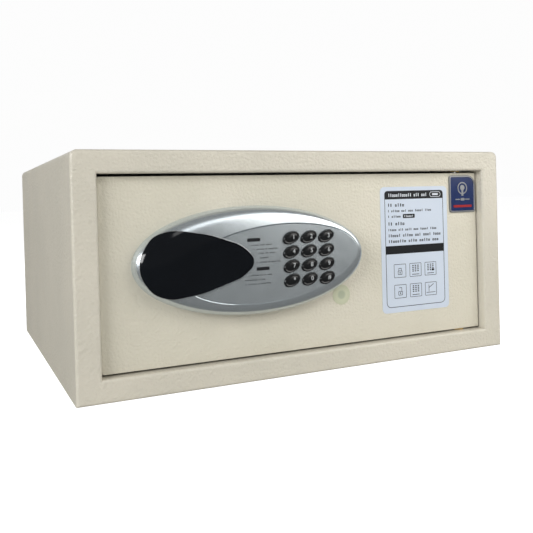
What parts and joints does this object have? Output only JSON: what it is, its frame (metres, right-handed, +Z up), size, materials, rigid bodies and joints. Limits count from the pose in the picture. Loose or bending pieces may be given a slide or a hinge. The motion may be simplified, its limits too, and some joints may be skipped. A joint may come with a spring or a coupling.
{
  "type": "in-room safe",
  "caption": "Steel in-room safe with a recessed hinged door, an oval keypad panel with a dark display lens, motor-driven bolts and a carpeted interior.",
  "frame": {"origin": "centre of the cabinet's footprint, on the underside of the floor panel", "axes": "+X to the right seen from the front, -Y out of the front, +Z up"},
  "size_m": [0.43, 0.3791, 0.2],
  "materials": {
    "cabinet_paint": "cream powder coat, fine orange peel",
    "door_paint": "cream powder coat, fine orange peel",
    "bright_steel": "turned and polished",
    "zinc_plate": "zinc plated",
    "brass": "machined",
    "silver_panel": "silver metallic lacquer on moulded plastic",
    "smoked_lens": "polished smoked acrylic",
    "key_black": "glossy black with white print",
    "black_plastic": "fine spark texture",
    "white_nylon": "machined nylon",
    "black_rubber": "moulded",
    "board_green": "solder mask",
    "cell_jacket": "printed jacket",
    "cable_jacket": "soft jacket",
    "label_print": "printed film",
    "badge_enamel": "enamel with a metal rim",
    "disc_green": "pale translucent film",
    "grey_felt": "needle felt"
  },
  "bodies": {
    "cabinet": {"outer_wrap": "cabinet_paint", "floor_panel": "cabinet_paint", "rear_panel": "cabinet_paint", "front_frame": "cabinet_paint", "bolt_keeper": "zinc_plate", "hinge_plates": "cabinet_paint", "hinge_bushes": "brass", "door_stops": "cabinet_paint", "door_bumpers": "black_rubber", "carpet_mat": "grey_felt"},
    "door": {"door_plate": "door_paint", "hinge_blocks": "door_paint", "hinge_pins": "bright_steel", "thrust_washer": "brass", "lock_box": "door_paint", "inner_cover": "door_paint", "cover_screws": "zinc_plate", "battery_tray": "black_plastic", "batteries": "cell_jacket", "battery_contacts": "zinc_plate", "battery_lid": "black_plastic", "bolt_guide": "zinc_plate", "controller_board": "board_green", "controller_parts": "black_plastic", "board_standoffs": "zinc_plate", "rack_pad": "white_nylon", "gearbox": "zinc_plate", "motor_can": "zinc_plate", "motor_bracket": "zinc_plate", "panel_cover": "silver_panel", "display_lens": "smoked_lens", "panel_backplate": "black_plastic", "panel_screws": "zinc_plate", "key_mat": "black_rubber", "keypad_board": "board_green", "key_domes": "zinc_plate", "display_module": "black_plastic", "wiring_loom": "cable_jacket", "instruction_label": "label_print", "badge": "badge_enamel", "door_disc": "disc_green"},
    "bolts": {"bolt_upper": "bright_steel", "bolt_lower": "bright_steel", "bolt_carriage": "zinc_plate", "drive_rack": "zinc_plate"},
    "pinion": {"drive_pinion": "brass", "output_shaft": "zinc_plate"},
    "key_body_1": {"key_1": "key_black"},
    "key_body_2": {"key_2": "key_black"},
    "key_body_3": {"key_3": "key_black"},
    "key_body_4": {"key_4": "key_black"},
    "key_body_5": {"key_5": "key_black"},
    "key_body_6": {"key_6": "key_black"},
    "key_body_7": {"key_7": "key_black"},
    "key_body_8": {"key_8": "key_black"},
    "key_body_9": {"key_9": "key_black"},
    "key_body_star": {"key_star": "key_black"},
    "key_body_0": {"key_0": "key_black"},
    "key_body_hash": {"key_hash": "key_black"}
  },
  "joints": [
    {"name": "door_swing", "type": "hinge", "parent": "cabinet", "child": "door", "pos_m": [0.1707, -0.1688, 0.09975], "axis": [0, 0, 1], "range_deg": [0, 110]},
    {"name": "bolt_throw", "type": "slide", "parent": "door", "child": "bolts", "axis": [-1, 0, 0], "range_m": [0, 0.015]},
    {"name": "pinion_turn", "type": "hinge", "parent": "door", "child": "pinion", "pos_m": [-0.118, -0.1559, 0.09975], "axis": [0, 0, -1], "range_deg": [0, 125]},
    {"name": "key_press_1", "type": "slide", "parent": "door", "child": "key_body_1", "axis": [0, 1, 0], "range_m": [0, 0.0012], "stiffness_N_per_m": 300},
    {"name": "key_press_2", "type": "slide", "parent": "door", "child": "key_body_2", "axis": [0, 1, 0], "range_m": [0, 0.0012], "stiffness_N_per_m": 300},
    {"name": "key_press_3", "type": "slide", "parent": "door", "child": "key_body_3", "axis": [0, 1, 0], "range_m": [0, 0.0012], "stiffness_N_per_m": 300},
    {"name": "key_press_4", "type": "slide", "parent": "door", "child": "key_body_4", "axis": [0, 1, 0], "range_m": [0, 0.0012], "stiffness_N_per_m": 300},
    {"name": "key_press_5", "type": "slide", "parent": "door", "child": "key_body_5", "axis": [0, 1, 0], "range_m": [0, 0.0012], "stiffness_N_per_m": 300},
    {"name": "key_press_6", "type": "slide", "parent": "door", "child": "key_body_6", "axis": [0, 1, 0], "range_m": [0, 0.0012], "stiffness_N_per_m": 300},
    {"name": "key_press_7", "type": "slide", "parent": "door", "child": "key_body_7", "axis": [0, 1, 0], "range_m": [0, 0.0012], "stiffness_N_per_m": 300},
    {"name": "key_press_8", "type": "slide", "parent": "door", "child": "key_body_8", "axis": [0, 1, 0], "range_m": [0, 0.0012], "stiffness_N_per_m": 300},
    {"name": "key_press_9", "type": "slide", "parent": "door", "child": "key_body_9", "axis": [0, 1, 0], "range_m": [0, 0.0012], "stiffness_N_per_m": 300},
    {"name": "key_press_star", "type": "slide", "parent": "door", "child": "key_body_star", "axis": [0, 1, 0], "range_m": [0, 0.0012], "stiffness_N_per_m": 300},
    {"name": "key_press_0", "type": "slide", "parent": "door", "child": "key_body_0", "axis": [0, 1, 0], "range_m": [0, 0.0012], "stiffness_N_per_m": 300},
    {"name": "key_press_hash", "type": "slide", "parent": "door", "child": "key_body_hash", "axis": [0, 1, 0], "range_m": [0, 0.0012], "stiffness_N_per_m": 300}
  ],
  "couplings": [
    {"joint": "pinion_turn", "follows": "bolt_throw", "rad_per_m": 142.86}
  ]
}
